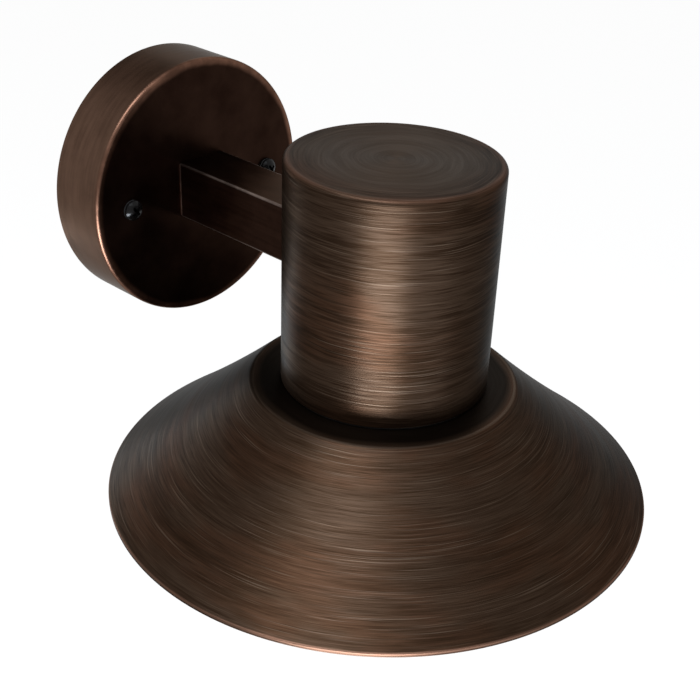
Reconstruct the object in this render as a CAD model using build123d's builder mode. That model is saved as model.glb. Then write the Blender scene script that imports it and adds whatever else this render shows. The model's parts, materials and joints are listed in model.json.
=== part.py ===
from build123d import *
import os
from math import hypot, sqrt

# Outdoor wall lamp, in millimetres. The origin lies on the wall at the height of the arm.
# +Y points into the wall, +Z is up, and the lamp stands out from the wall along -Y.
# Distances called "out" are measured from the wall along -Y.

# Wall plate
plate_diameter = 116.0
plate_depth = 28.0
plate_wall = 1.2
plate_edge_radius = 1.6
plate_drop = 2.0
screw_edge_distance = 18.5
gasket_width = 4.0
gasket_depth = 3.0

# Wall bracket
bracket_width = 24.0
bracket_thickness = 2.0
bracket_corner = 4.0
bracket_end_gap = 4.0
slot_from_screw = 14.5
slot_length = 12.0
slot_width = 5.0
tongue_width = 22.0
tongue_margin = 6.0
bush_radius = 3.6
bush_length = 14.0
bush_step = 0.6

# Arm
arm_width = 25.0
arm_wall = 1.5
arm_corner = 0.8
arm_reach = 114.0
arm_bolt_inset = 4.3
arm_block_length = 12.0
root_plate_margin = 8.0
root_plate_thickness = 2.0
saddle_thickness = 4.0
saddle_margin = 5.0

# Lamp head
cylinder_diameter = 87.0
cylinder_height = 95.0
cylinder_wall = 1.5
cylinder_edge_radius = 2.0
cylinder_lip_radius = 0.4
arm_height = 51.0
ring_thickness = 3.0
seal_thickness = 1.0
seal_inset = 1.2
shade_diameter = 234.0
shade_height = 51.4
shade_sheet = 1.2
shade_flare = 1.0
shade_lip = 1.8
shade_bend_radius = 3.2
shoulder_diameter = 112.0
shade_screw_count = 3
shade_screw_angle = 30.0

# Lampholder and its bridge
bridge_drop = 9.5
bridge_width = 16.0
bridge_sheet = 1.5
bridge_crown = 22.0
bridge_bend_radius = 0.8
stud_from_wall = 12.0
stud_length = 7.5
bridge_end_margin = 6.0
holder_height = 44.0
holder_radius = 19.0
holder_neck_radius = 16.0
holder_neck_height = 17.0
holder_edge_radius = 1.2
holder_bolt_spacing = 22.0
holder_wire_spacing = 12.0
holder_wire_height = 36.0
holder_wire_depth = 6.0
shell_wall = 0.6
contact_sheet = 0.5
contact_width = 6.0
contact_drop = 2.5
contact_crown = 4.0
contact_span = 9.0

# Bulb, pear shaped with a 27 mm screw cap
bulb_diameter = 60.0
bulb_length = 108.0
bulb_wall = 1.2
bulb_seam_height = 44.0
bulb_clearance = 3.0
cap_radius = 13.0
cap_length = 26.0
cap_shoulder = 5.0
cap_edge_radius = 1.0
contact_radius = 4.6
contact_height = 1.6
insulator_radius = 11.0
collar_foot_radius = 14.0
collar_wall = 2.0
collar_swell = 1.6

# Terminals, earth tags and inner wires
block_width = 20.0
block_height = 17.0
block_base = 6.0
pole_spacing = 12.0
barrel_radius = 3.4
chimney_radius = 2.8
chimney_height = 5.0
pole_screw_spacing = 9.0
wire_radius = 1.0
wire_side = 1.25
wire_low = 0.9
earth_high = 1.3
wire_fan_out = 7.0
wire_stub = 5.0
holder_wire_room = 7.5
earth_loop = 5.5
earth_lean = 4.5
pole_bends = [8.0, 9.0, 6.0, 5.0]
earth_bends = [5.0, 5.0, 4.0, 4.0]
tag_thickness = 0.8
tag_radius = 4.0
tag_reach = 6.0
tag_barrel_length = 2.5
tag_barrel_height = 12.0
grommet_bore = 3.2
grommet_wall = 1.0
grommet_flange = 5.0
grommet_flange_thickness = 1.0

# Screws: shank radius, head radius and head height of each size in use
plate_shank = 2.0
plate_head_radius = 4.4
plate_head_height = 3.2
screw_seal_thickness = 0.6
bolt_shank = 2.0
bolt_head_radius = 3.8
bolt_head_height = 2.4
small_shank = 1.5
small_head_radius = 2.5
small_head_height = 2.0
thread_reach = 8.0
nut_flats = 7.0
nut_height = 3.2

# Clearances
fit_gap = 0.1
thread_gap = 0.05
hole_gap = 0.25
running_gap = 0.3

# Places worked out from the sizes above
plate_radius = plate_diameter / 2
plate_centre = (0, -plate_drop)
plate_inner_radius = plate_radius - plate_wall
plate_inner_face = plate_depth - plate_wall
gasket_radius = plate_inner_radius - fit_gap
bracket_half = gasket_radius - gasket_width - bracket_end_gap
screw_x = plate_radius - screw_edge_distance
screw_places = [(-screw_x, -plate_drop), (screw_x, -plate_drop)]
slot_x = screw_x - slot_from_screw
slot_places = [(-slot_x, -plate_drop), (slot_x, -plate_drop)]
bush_end = bracket_thickness + bush_length
arm_inner = arm_width - 2 * arm_wall
bolt_pitch = 2 * (arm_inner / 2 - arm_bolt_inset)
root_face = plate_inner_face - root_plate_thickness
head_out = plate_depth + arm_reach
head_axis = Axis((0, -head_out, 0), (0, 0, 1))
head_centre = (0, -head_out)
cylinder_radius = cylinder_diameter / 2
cylinder_inner = cylinder_radius - cylinder_wall
cylinder_low = -arm_height
cylinder_top = cylinder_low + cylinder_height
cylinder_roof = cylinder_top - cylinder_wall
cylinder_near = head_out - cylinder_radius
saddle_radius = cylinder_inner - fit_gap
saddle_face = head_out - saddle_radius + saddle_thickness
earth_screw_height = tag_barrel_height + tag_reach
ring_opening = bulb_diameter / 2 + bulb_clearance
ring_radius = cylinder_inner - fit_gap
shade_screw_circle = (ring_opening + cylinder_inner) / 2
shade_top = cylinder_low - seal_thickness
shade_low = shade_top - shade_height
holder_top = cylinder_roof - bridge_drop
holder_low = holder_top - holder_height
shell_radius = cap_radius + running_gap + shell_wall
holder_bore = shell_radius + fit_gap
collar_top = holder_low - 2 * running_gap
bulb_tip = collar_top + cap_length
contact_face = bulb_tip + running_gap
cavity_top = contact_face + contact_drop
bulb_low = bulb_tip - bulb_length
globe_radius = bulb_diameter / 2
globe_centre = bulb_low + globe_radius
bulb_seam = bulb_low + bulb_seam_height
seam_radius = sqrt(globe_radius**2 - (bulb_seam - globe_centre) ** 2)
stud_x = cylinder_inner - stud_from_wall
block_centre = -(bracket_width / 2 + block_height / 2 + fit_gap)
barrel_out = bracket_thickness + block_base

os.makedirs("parts", exist_ok=True)


def out_plane(distance):
    # plane parallel to the wall, facing away from it
    return Plane.XZ.offset(distance)


def at(x, out, z):
    return (x, -out, z)


def save(builder, name):
    builder.part.label = name
    export_step(builder.part, f"parts/{name}.step")


def domed_screw(shank, length, head_radius, head_height):
    # screw along Z: the head stands on z = 0 and the shank hangs below it
    with BuildPart() as screw:
        with BuildSketch(Plane.XZ):
            with BuildLine():
                TangentArc((0, head_height), (head_radius, head_height / 3), tangent=(1, 0))
                Polyline(
                    (head_radius, head_height / 3),
                    (head_radius, 0),
                    (shank, 0),
                    (shank, -length),
                    (0, -length),
                    (0, head_height),
                )
            make_face()
        revolve(axis=Axis.Z)
    return screw.part


def hat_strap(half_span, half_crown, top, drop, sheet, width, bend):
    # strap across the head: its ends lie under "top" and its middle hangs "drop" below
    with BuildPart() as strap:
        with BuildSketch(out_plane(head_out - width / 2)):
            with BuildLine():
                Polyline(
                    (0, top - drop),
                    (half_crown, top - drop),
                    (half_crown, top - sheet),
                    (half_span, top - sheet),
                    (half_span, top),
                    (half_crown - sheet, top),
                    (half_crown - sheet, top - drop + sheet),
                    (0, top - drop + sheet),
                )
                mirror(about=Plane.YZ)
            make_face()
        extrude(amount=width)
        bends = strap.edges().filter_by(Axis.Y).filter_by_position(
            Axis.X, -half_crown, half_crown
        )
        fillet(bends, bend)
    return strap.part


def wire(points, radii):
    with BuildPart() as run:
        with BuildLine() as route:
            FilletPolyline(*points, radius=radii)
        with BuildSketch(Plane(origin=route.line @ 0, z_dir=route.line % 0)):
            Circle(wire_radius)
        sweep(path=route.line)
    return run.part


# Stamped bracket that is screwed to the wall through its two slots
with BuildPart() as wall_bracket:
    with BuildSketch(Plane.XZ):
        with Locations(plate_centre):
            RectangleRounded(2 * bracket_half, bracket_width, bracket_corner)
        tongue_low = block_centre - block_height / 2 - tongue_margin / 2
        tongue_high = earth_screw_height + tongue_margin
        with Locations((0, (tongue_low + tongue_high) / 2)):
            RectangleRounded(tongue_width, tongue_high - tongue_low, bracket_corner)
        with Locations(*slot_places):
            SlotOverall(slot_length, slot_width, mode=Mode.SUBTRACT)
        with Locations(*screw_places):
            Circle(bush_radius - bush_step + thread_gap, mode=Mode.SUBTRACT)
        with Locations((0, earth_screw_height)):
            Circle(bolt_shank + thread_gap, mode=Mode.SUBTRACT)
        with Locations((0, block_centre)):
            Circle(small_shank + thread_gap, mode=Mode.SUBTRACT)
    extrude(amount=bracket_thickness)
save(wall_bracket, "wall_bracket")

# Tapped bushes riveted into the bracket for the plate screws
with BuildPart() as bracket_bushes:
    with BuildSketch(Plane.XZ):
        with Locations(*screw_places):
            Circle(bush_radius - bush_step)
    extrude(amount=bracket_thickness)
    with BuildSketch(out_plane(bracket_thickness)):
        with Locations(*screw_places):
            Circle(bush_radius)
    extrude(amount=bush_length)
    with BuildSketch(Plane.XZ):
        with Locations(*screw_places):
            Circle(plate_shank + thread_gap)
    extrude(amount=bush_end, mode=Mode.SUBTRACT)
save(bracket_bushes, "bracket_bushes")

# Soft ring inside the plate's rim, pressed against the wall
with BuildPart() as wall_gasket:
    with BuildSketch(Plane.XZ):
        with Locations(plate_centre):
            Circle(gasket_radius)
            Circle(gasket_radius - gasket_width, mode=Mode.SUBTRACT)
    extrude(amount=gasket_depth)
save(wall_gasket, "wall_gasket")

# Drawn cup that covers the bracket
with BuildPart() as wall_plate:
    with BuildSketch(Plane.XZ):
        with Locations(plate_centre):
            Circle(plate_radius)
    extrude(amount=plate_depth)
    fillet(wall_plate.edges().sort_by(Axis.Y)[0], plate_edge_radius)
    offset(amount=-plate_wall, openings=wall_plate.faces().sort_by(Axis.Y)[-1])
    with BuildSketch(out_plane(plate_inner_face)):
        with Locations(*screw_places):
            Circle(plate_shank + hole_gap)
        with GridLocations(bolt_pitch, bolt_pitch, 2, 2):
            Circle(bolt_shank + hole_gap)
        Circle(grommet_bore + grommet_wall + fit_gap)
    extrude(amount=plate_wall, mode=Mode.SUBTRACT)
save(wall_plate, "wall_plate")

# Black screws through the plate into the bushes, each over a seal
plate_screw_seat = plate_depth + screw_seal_thickness
plate_screw = domed_screw(
    plate_shank, plate_screw_seat - bush_end + thread_reach, plate_head_radius, plate_head_height
)
with BuildPart() as plate_screws:
    with Locations(*[out_plane(plate_screw_seat).location * Pos(x, z) for x, z in screw_places]):
        add(plate_screw)
save(plate_screws, "plate_screws")

with BuildPart() as plate_screw_seals:
    with BuildSketch(out_plane(plate_depth)):
        with Locations(*screw_places):
            Circle(plate_head_radius)
            Circle(plate_shank + thread_gap, mode=Mode.SUBTRACT)
    extrude(amount=screw_seal_thickness)
save(plate_screw_seals, "plate_screw_seals")

# Two-pole terminal block on the bracket's lower tongue
pole_places = [(-pole_spacing / 2, -barrel_out), (pole_spacing / 2, -barrel_out)]
chimney_top = barrel_out + barrel_radius + chimney_height
with BuildPart() as terminal_block:
    with BuildSketch(Plane.XY.offset(block_centre - block_height / 2)):
        with Locations((0, -bracket_thickness - block_base / 2)):
            Rectangle(block_width, block_base)
        with Locations(*pole_places):
            Circle(barrel_radius)
    extrude(amount=block_height)
    with BuildSketch(out_plane(barrel_out)):
        with Locations((0, block_centre)):
            with GridLocations(pole_spacing, pole_screw_spacing, 2, 2):
                Circle(chimney_radius)
    extrude(amount=chimney_top - barrel_out)
    with BuildSketch(out_plane(barrel_out)):
        with Locations((0, block_centre)):
            with GridLocations(pole_spacing, pole_screw_spacing, 2, 2):
                Circle(small_shank + thread_gap)
    extrude(amount=chimney_top - barrel_out, mode=Mode.SUBTRACT)
    with BuildSketch(Plane.XY.offset(block_centre - block_height / 2)):
        with Locations(*pole_places):
            Circle(wire_radius + 2 * fit_gap)
    extrude(amount=block_height, mode=Mode.SUBTRACT)
    with BuildSketch(out_plane(bracket_thickness)):
        with Locations((0, block_centre)):
            Circle(small_shank + hole_gap)
    extrude(amount=block_base, mode=Mode.SUBTRACT)
save(terminal_block, "terminal_block")

# Grub screws that clamp the wires in the block
with BuildPart() as terminal_screws:
    with BuildSketch(out_plane(barrel_out + wire_radius)):
        with Locations((0, block_centre)):
            with GridLocations(pole_spacing, pole_screw_spacing, 2, 2):
                Circle(small_shank)
    extrude(amount=barrel_radius + chimney_height / 2)
save(terminal_screws, "terminal_screws")

block_screw = domed_screw(
    small_shank, block_base + bracket_thickness - fit_gap, small_head_radius, small_head_height
)
with BuildPart() as terminal_fixing_screw:
    with Locations(out_plane(barrel_out).location * Pos(0, block_centre)):
        add(block_screw)
save(terminal_fixing_screw, "terminal_fixing_screw")

# Earth tags, one on the bracket and one on the saddle in the head, with their screws
earth_faces = [bracket_thickness, saddle_face]
with BuildPart() as earth_tags:
    for face in earth_faces:
        with BuildSketch(out_plane(face)):
            with Locations((0, earth_screw_height)):
                Circle(tag_radius)
            with Locations((0, tag_barrel_height + tag_reach / 2)):
                SlotCenterToCenter(tag_reach, tag_radius, rotation=90)
            with Locations((0, earth_screw_height)):
                Circle(bolt_shank + hole_gap, mode=Mode.SUBTRACT)
        extrude(amount=tag_thickness)
        with BuildSketch(out_plane(face + tag_thickness)):
            with Locations((0, tag_barrel_height)):
                Circle(tag_radius / 2)
                Circle(wire_radius + 2 * fit_gap, mode=Mode.SUBTRACT)
        extrude(amount=tag_barrel_length)
save(earth_tags, "earth_tags")

earth_screw = domed_screw(
    bolt_shank, tag_thickness + bracket_thickness - fit_gap, bolt_head_radius, bolt_head_height
)
with BuildPart() as earth_screws:
    for face in earth_faces:
        with Locations(out_plane(face + tag_thickness).location * Pos(0, earth_screw_height)):
            add(earth_screw)
save(earth_screws, "earth_screws")

# Plate that spreads the arm's load inside the cup
with BuildPart() as arm_root_plate:
    with BuildSketch(out_plane(root_face)):
        RectangleRounded(
            arm_width + 2 * root_plate_margin, arm_width + 2 * root_plate_margin, bracket_corner
        )
        with GridLocations(bolt_pitch, bolt_pitch, 2, 2):
            Circle(bolt_shank + hole_gap, mode=Mode.SUBTRACT)
        Circle(grommet_bore + grommet_wall + fit_gap, mode=Mode.SUBTRACT)
    extrude(amount=root_plate_thickness)
save(arm_root_plate, "arm_root_plate")

# Four bolts from inside the cup into the block in the arm's root
root_bolt = domed_screw(
    bolt_shank, root_plate_thickness + plate_wall + thread_reach, bolt_head_radius, bolt_head_height
)
towards_wall = Plane(origin=at(0, root_face, 0), x_dir=(-1, 0, 0), z_dir=(0, 1, 0))
with BuildPart() as arm_root_screws:
    with Locations(towards_wall.location):
        with GridLocations(bolt_pitch, bolt_pitch, 2, 2):
            add(root_bolt)
save(arm_root_screws, "arm_root_screws")

# Rubber bushes where the wires pass through sheet metal
with BuildPart() as root_grommet:
    with BuildSketch(out_plane(root_face - grommet_flange_thickness)):
        Circle(grommet_flange)
    extrude(amount=grommet_flange_thickness)
    with BuildSketch(out_plane(root_face)):
        Circle(grommet_bore + grommet_wall)
    extrude(amount=root_plate_thickness + plate_wall)
    with BuildSketch(out_plane(root_face - grommet_flange_thickness)):
        Circle(grommet_bore)
    extrude(amount=grommet_flange_thickness + root_plate_thickness + plate_wall, mode=Mode.SUBTRACT)
save(root_grommet, "root_grommet")

neck_start = cylinder_near + cylinder_wall / 2
with BuildPart() as end_grommet:
    with BuildSketch(out_plane(neck_start)):
        Circle(grommet_bore + grommet_wall)
    extrude(amount=saddle_face - neck_start)
    with BuildSketch(out_plane(saddle_face)):
        Circle(grommet_flange)
    extrude(amount=grommet_flange_thickness)
    with BuildSketch(out_plane(neck_start)):
        Circle(grommet_bore)
    extrude(amount=saddle_face - neck_start + grommet_flange_thickness, mode=Mode.SUBTRACT)
save(end_grommet, "end_grommet")

# Steel blocks in the two ends of the arm, tapped for the bolts
block_side = arm_inner - 2 * fit_gap
with BuildPart() as arm_root_block:
    with BuildSketch(out_plane(plate_depth)):
        Rectangle(block_side, block_side)
        with GridLocations(bolt_pitch, bolt_pitch, 2, 2):
            Circle(bolt_shank + thread_gap, mode=Mode.SUBTRACT)
        Circle(grommet_bore, mode=Mode.SUBTRACT)
    extrude(amount=arm_block_length)
save(arm_root_block, "arm_root_block")

with BuildPart() as arm_end_block:
    with BuildSketch(out_plane(cylinder_near - arm_block_length)):
        Rectangle(block_side, block_side)
        with GridLocations(bolt_pitch, bolt_pitch, 2, 2):
            Circle(bolt_shank + thread_gap, mode=Mode.SUBTRACT)
        Circle(grommet_bore, mode=Mode.SUBTRACT)
    extrude(amount=arm_block_length + arm_width / 2)
    with BuildSketch(Plane.XY):
        with Locations(head_centre):
            Circle(cylinder_radius + fit_gap)
    extrude(amount=arm_width, both=True, mode=Mode.SUBTRACT)
save(arm_end_block, "arm_end_block")

# Square tube, coped at its outer end to the round of the cylinder
with BuildPart() as arm:
    with BuildSketch(out_plane(plate_depth)):
        RectangleRounded(arm_width, arm_width, arm_corner)
        Rectangle(arm_inner, arm_inner, mode=Mode.SUBTRACT)
    extrude(amount=cylinder_near - plate_depth + arm_width / 2)
    with BuildSketch(Plane.XY):
        with Locations(head_centre):
            Circle(cylinder_radius + fit_gap)
    extrude(amount=arm_width, both=True, mode=Mode.SUBTRACT)
save(arm, "arm")

# Saddle inside the cylinder: round on the back, flat where the bolt heads bear
saddle_low = -arm_width / 2
saddle_high = earth_screw_height + saddle_margin
with BuildPart() as arm_saddle:
    with BuildSketch(Plane.XY.offset(saddle_low)):
        with Locations(head_centre):
            Circle(saddle_radius)
        with Locations((0, -saddle_face + arm_width / 2)):
            Rectangle(arm_width, arm_width, mode=Mode.INTERSECT)
    extrude(amount=saddle_high - saddle_low)
    with BuildSketch(out_plane(cylinder_near)):
        with GridLocations(bolt_pitch, bolt_pitch, 2, 2):
            Circle(bolt_shank + hole_gap)
        Circle(grommet_bore + grommet_wall + fit_gap)
        with Locations((0, earth_screw_height)):
            Circle(bolt_shank + thread_gap)
    extrude(amount=saddle_face - cylinder_near, mode=Mode.SUBTRACT)
save(arm_saddle, "arm_saddle")

end_bolt = domed_screw(
    bolt_shank, saddle_face - cylinder_near + thread_reach, bolt_head_radius, bolt_head_height
)
with BuildPart() as arm_end_screws:
    with Locations(out_plane(saddle_face).location):
        with GridLocations(bolt_pitch, bolt_pitch, 2, 2):
            add(end_bolt)
save(arm_end_screws, "arm_end_screws")

# Lamp head: a cup with a closed, softly rounded top
with BuildPart() as lamp_cylinder:
    with BuildSketch(Plane.XY.offset(cylinder_low)):
        with Locations(head_centre):
            Circle(cylinder_radius)
    extrude(amount=cylinder_height)
    fillet(lamp_cylinder.edges().sort_by(Axis.Z)[-1], cylinder_edge_radius)
    offset(amount=-cylinder_wall, openings=lamp_cylinder.faces().sort_by(Axis.Z)[0])
    lip = lamp_cylinder.edges().group_by(Axis.Z)[0].sort_by(SortBy.RADIUS)[-1]
    fillet(lip, cylinder_lip_radius)
    with BuildSketch(out_plane(cylinder_near)):
        with GridLocations(bolt_pitch, bolt_pitch, 2, 2):
            Circle(bolt_shank + hole_gap)
        Circle(grommet_bore + grommet_wall + fit_gap)
    extrude(amount=saddle_face - cylinder_near, mode=Mode.SUBTRACT)
save(lamp_cylinder, "lamp_cylinder")

# Studs welded under the top, the strap that hangs from them and its nuts
stud_places = [(-stud_x, -head_out), (stud_x, -head_out)]
with BuildPart() as bridge_studs:
    with BuildSketch(Plane.XY.offset(cylinder_roof)):
        with Locations(*stud_places):
            Circle(bolt_shank)
    extrude(amount=-stud_length)
save(bridge_studs, "bridge_studs")

holder_bolt_places = [
    (-holder_bolt_spacing / 2, -head_out),
    (holder_bolt_spacing / 2, -head_out),
]
bridge_blank = hat_strap(
    stud_x + bridge_end_margin,
    bridge_crown,
    cylinder_roof,
    bridge_drop,
    bridge_sheet,
    bridge_width,
    bridge_bend_radius,
)
with BuildPart() as lampholder_bridge:
    add(bridge_blank)
    with BuildSketch(Plane.XY.offset(holder_top)):
        with Locations(*stud_places):
            Circle(bolt_shank + hole_gap)
        with Locations(*holder_bolt_places):
            Circle(small_shank + hole_gap)
    extrude(amount=bridge_drop, mode=Mode.SUBTRACT)
save(lampholder_bridge, "lampholder_bridge")

with BuildPart() as bridge_nuts:
    with BuildSketch(Plane.XY.offset(cylinder_roof - bridge_sheet)):
        with Locations(*stud_places):
            RegularPolygon(nut_flats / 2, 6, major_radius=False)
            Circle(bolt_shank + thread_gap, mode=Mode.SUBTRACT)
    extrude(amount=-nut_height)
save(bridge_nuts, "bridge_nuts")

# Porcelain lampholder with its screw shell and sprung centre contact
holder_shoulder = holder_top - holder_neck_height
with BuildPart() as lampholder_body:
    with BuildSketch(out_plane(head_out)):
        with BuildLine():
            Polyline(
                (0, holder_top),
                (holder_neck_radius, holder_top),
                (holder_neck_radius, holder_shoulder),
                (holder_radius, holder_shoulder - (holder_radius - holder_neck_radius)),
                (holder_radius, holder_low),
                (holder_bore, holder_low),
                (holder_bore, cavity_top),
                (0, cavity_top),
                close=True,
            )
        make_face()
    revolve(axis=head_axis)
    rims = lampholder_body.edges().filter_by(GeomType.CIRCLE)
    outer_rims = rims.filter_by(lambda rim: rim.radius > holder_bore + fit_gap)
    fillet(outer_rims.sort_by(Axis.Z)[-1], holder_edge_radius)
    fillet(outer_rims.sort_by(Axis.Z)[0], holder_edge_radius)
    with BuildSketch(Plane.XY.offset(holder_top)):
        with Locations(*holder_bolt_places):
            Circle(small_shank + thread_gap)
    extrude(amount=-thread_reach, mode=Mode.SUBTRACT)
    with BuildSketch(out_plane(head_out - holder_radius)):
        with Locations((0, holder_low + holder_wire_height)):
            with GridLocations(holder_wire_spacing, 0, 2, 1):
                Circle(wire_radius + 2 * fit_gap)
    extrude(amount=holder_radius - holder_neck_radius + holder_wire_depth, mode=Mode.SUBTRACT)
save(lampholder_body, "lampholder_body")

holder_bolt = domed_screw(
    small_shank, bridge_sheet + thread_reach - fit_gap, small_head_radius, small_head_height
)
with BuildPart() as lampholder_screws:
    with Locations(*[(x, y, holder_top + bridge_sheet) for x, y in holder_bolt_places]):
        add(holder_bolt)
save(lampholder_screws, "lampholder_screws")

with BuildPart() as lampholder_shell:
    with BuildSketch(Plane.XY.offset(holder_low + shell_wall)):
        with Locations(head_centre):
            Circle(shell_radius)
            Circle(shell_radius - shell_wall, mode=Mode.SUBTRACT)
    extrude(amount=contact_face - holder_low - shell_wall)
save(lampholder_shell, "lampholder_shell")

contact_blank = hat_strap(
    contact_span,
    contact_crown,
    cavity_top,
    contact_drop,
    contact_sheet,
    contact_width,
    contact_sheet / 2,
)
with BuildPart() as lampholder_contact:
    add(contact_blank)
save(lampholder_contact, "lampholder_contact")

# Tapped ring welded into the cylinder's mouth, the seal under it and the shade
with BuildPart() as shade_ring:
    with BuildSketch(Plane.XY.offset(cylinder_low)):
        with Locations(head_centre):
            Circle(ring_radius)
            Circle(ring_opening, mode=Mode.SUBTRACT)
            with PolarLocations(shade_screw_circle, shade_screw_count, start_angle=shade_screw_angle):
                Circle(bolt_shank + thread_gap, mode=Mode.SUBTRACT)
    extrude(amount=ring_thickness)
save(shade_ring, "shade_ring")

with BuildPart() as shade_seal:
    with BuildSketch(Plane.XY.offset(shade_top)):
        with Locations(head_centre):
            Circle(cylinder_radius - seal_inset)
            Circle(ring_opening, mode=Mode.SUBTRACT)
            with PolarLocations(shade_screw_circle, shade_screw_count, start_angle=shade_screw_angle):
                Circle(bolt_shank + hole_gap, mode=Mode.SUBTRACT)
    extrude(amount=seal_thickness)
save(shade_seal, "shade_seal")

# The spun shade: flat shoulder, slightly hollow cone and a short turned-down lip
shade_radius = shade_diameter / 2
shoulder_radius = shoulder_diameter / 2
cone_low = shade_low + shade_lip
cone_run = shade_radius - shoulder_radius
cone_fall = shade_top - cone_low
cone_length = hypot(cone_run, cone_fall)
shoulder_inset = shade_sheet * (cone_length - cone_run) / cone_fall
lip_inset = shade_sheet * (cone_length - cone_fall) / cone_run
with BuildPart() as shade:
    with BuildSketch(out_plane(head_out)) as shade_profile:
        with BuildLine():
            Polyline(
                (ring_opening, shade_top - shade_sheet),
                (ring_opening, shade_top),
                (shoulder_radius, shade_top),
            )
            SagittaArc((shoulder_radius, shade_top), (shade_radius, cone_low), -shade_flare)
            Polyline(
                (shade_radius, cone_low),
                (shade_radius, shade_low),
                (shade_radius - shade_sheet, shade_low),
                (shade_radius - shade_sheet, cone_low - lip_inset),
            )
            SagittaArc(
                (shade_radius - shade_sheet, cone_low - lip_inset),
                (shoulder_radius - shoulder_inset, shade_top - shade_sheet),
                shade_flare,
            )
            Line(
                (shoulder_radius - shoulder_inset, shade_top - shade_sheet),
                (ring_opening, shade_top - shade_sheet),
            )
        make_face()
        outer_bend = shade_profile.vertices().sort_by_distance((shoulder_radius, shade_top))[0]
        fillet(outer_bend, shade_bend_radius)
        inner_corner = (shoulder_radius - shoulder_inset, shade_top - shade_sheet)
        inner_bend = shade_profile.vertices().sort_by_distance(inner_corner)[0]
        fillet(inner_bend, shade_bend_radius - shade_sheet)
    revolve(axis=head_axis)
    with BuildSketch(Plane.XY.offset(shade_top)):
        with Locations(head_centre):
            with PolarLocations(shade_screw_circle, shade_screw_count, start_angle=shade_screw_angle):
                Circle(bolt_shank + hole_gap)
    extrude(amount=-shade_sheet, mode=Mode.SUBTRACT)
save(shade, "shade")

shade_bolt = domed_screw(
    bolt_shank, shade_sheet + seal_thickness + ring_thickness, bolt_head_radius, bolt_head_height
)
upside_down = Location((0, -head_out, shade_top - shade_sheet), (180, 0, 0))
with BuildPart() as shade_screws:
    with Locations(upside_down):
        with PolarLocations(shade_screw_circle, shade_screw_count, start_angle=-shade_screw_angle):
            add(shade_bolt)
save(shade_screws, "shade_screws")

# Wires from the terminals through the arm to the lampholder, and the earth wire
pole_x = pole_spacing / 2
holder_wire_x = holder_wire_spacing / 2
holder_wire_z = holder_low + holder_wire_height
climb_out = head_out - holder_radius - holder_wire_room
gather_out = root_face - grommet_flange_thickness - wire_fan_out


def pole_route(side):
    return [
        at(side * pole_x, barrel_out, block_centre),
        at(side * pole_x, barrel_out, block_centre + block_height / 2 + wire_stub),
        at(side * wire_side, gather_out, -wire_low),
        at(side * wire_side, climb_out, -wire_low),
        at(side * holder_wire_x, climb_out, holder_wire_z),
        at(side * holder_wire_x, head_out - holder_neck_radius + holder_wire_depth, holder_wire_z),
    ]


live_run = wire(pole_route(-1), pole_bends)
with BuildPart() as live_wire:
    add(live_run)
save(live_wire, "live_wire")

neutral_run = wire(pole_route(1), pole_bends)
with BuildPart() as neutral_wire:
    add(neutral_run)
save(neutral_wire, "neutral_wire")

tag_seat = tag_thickness + fit_gap
earth_route = [
    at(0, bracket_thickness + tag_seat, tag_barrel_height),
    at(0, gather_out - earth_lean, tag_barrel_height),
    at(0, gather_out, earth_high),
    at(0, saddle_face + tag_seat + earth_loop, earth_high),
    at(0, saddle_face + tag_seat + earth_loop, tag_barrel_height),
    at(0, saddle_face + tag_seat, tag_barrel_height),
]
earth_run = wire(earth_route, earth_bends)
with BuildPart() as earth_wire:
    add(earth_run)
save(earth_wire, "earth_wire")

# The bulb: frosted globe, moulded collar, screw cap, insulator and centre contact
with BuildPart() as bulb_globe:
    with BuildSketch(out_plane(head_out)):
        with BuildLine():
            inner_radius = globe_radius - bulb_wall
            inner_seam = sqrt(inner_radius**2 - (bulb_seam - globe_centre) ** 2)
            ThreePointArc(
                (0, bulb_low), (globe_radius, globe_centre), (seam_radius, bulb_seam)
            )
            Line((seam_radius, bulb_seam), (inner_seam, bulb_seam))
            ThreePointArc(
                (inner_seam, bulb_seam), (inner_radius, globe_centre), (0, bulb_low + bulb_wall)
            )
            Line((0, bulb_low + bulb_wall), (0, bulb_low))
        make_face()
    revolve(axis=head_axis)
save(bulb_globe, "bulb_globe")

with BuildPart() as bulb_collar:
    with BuildSketch(out_plane(head_out)):
        with BuildLine():
            SagittaArc((seam_radius, bulb_seam), (collar_foot_radius, collar_top), collar_swell)
            Line((collar_foot_radius, collar_top), (collar_foot_radius - collar_wall, collar_top))
            SagittaArc(
                (collar_foot_radius - collar_wall, collar_top),
                (seam_radius - collar_wall, bulb_seam),
                -collar_swell,
            )
            Line((seam_radius - collar_wall, bulb_seam), (seam_radius, bulb_seam))
        make_face()
    revolve(axis=head_axis)
save(bulb_collar, "bulb_collar")

cap_top = bulb_tip - contact_height - cap_shoulder
with BuildPart() as bulb_cap:
    with BuildSketch(Plane.XY.offset(collar_top)):
        with Locations(head_centre):
            Circle(cap_radius)
    extrude(amount=cap_top - collar_top)
    fillet(bulb_cap.edges().sort_by(Axis.Z)[-1], cap_edge_radius)
save(bulb_cap, "bulb_cap")

with BuildPart() as bulb_insulator:
    with BuildSketch(Plane.XY.offset(cap_top)):
        with Locations(head_centre):
            Circle(insulator_radius)
    with BuildSketch(Plane.XY.offset(cap_top + cap_shoulder)):
        with Locations(head_centre):
            Circle(contact_radius)
    loft()
save(bulb_insulator, "bulb_insulator")

with BuildPart() as bulb_contact:
    with BuildSketch(Plane.XY.offset(cap_top + cap_shoulder)):
        with Locations(head_centre):
            Circle(contact_radius)
    extrude(amount=contact_height)
    fillet(bulb_contact.edges().sort_by(Axis.Z)[-1], contact_height / 2)
save(bulb_contact, "bulb_contact")
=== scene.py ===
import json
from math import asin, atan2, cos, hypot, pi, radians, sin, sqrt, tan

import bmesh
import bpy
from mathutils import Matrix, Vector


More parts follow.
